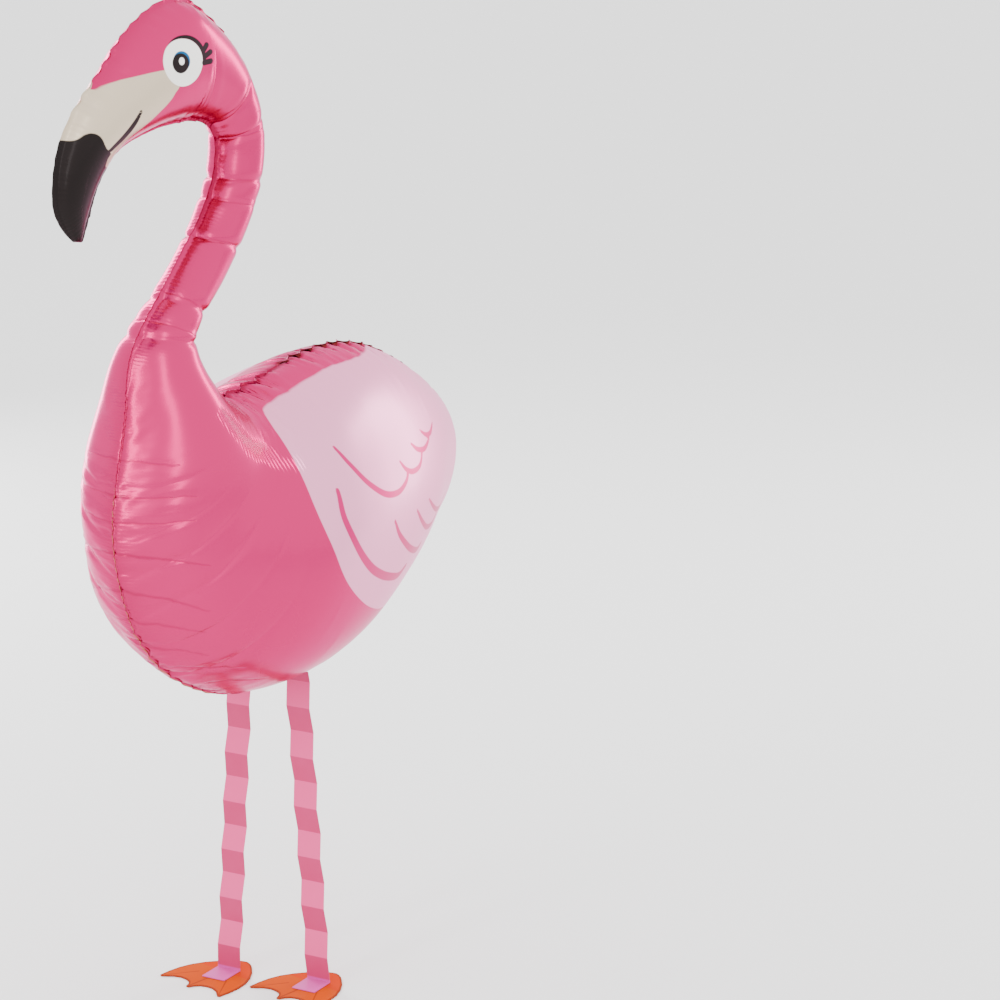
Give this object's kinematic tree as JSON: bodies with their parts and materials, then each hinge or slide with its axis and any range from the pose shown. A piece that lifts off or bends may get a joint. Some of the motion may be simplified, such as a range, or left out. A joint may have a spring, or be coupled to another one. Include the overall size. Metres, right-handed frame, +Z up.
{
  "type": "flamingo walking balloon",
  "caption": "Inflated film balloon shaped as a standing flamingo with curved neck, hooked beak and forked tail, on folded strip legs with flat webbed card feet.",
  "frame": {"origin": "on the floor under the middle of the bird's overall length and width", "axes": "+Z up, the bird faces -X, +Y towards the bird's right side; metres"},
  "size_m": [0.6456, 0.278, 1.0064],
  "materials": {
    "film": "metallised pink film, glossy",
    "leg_strip": "satin pink plastic strip in light and dark bands",
    "foot_card": "satin orange coated card"
  },
  "bodies": {
    "root": {"balloon": "film", "left_leg": "leg_strip", "right_leg": "leg_strip", "left_foot": "foot_card", "right_foot": "foot_card"}
  },
  "joints": []
}
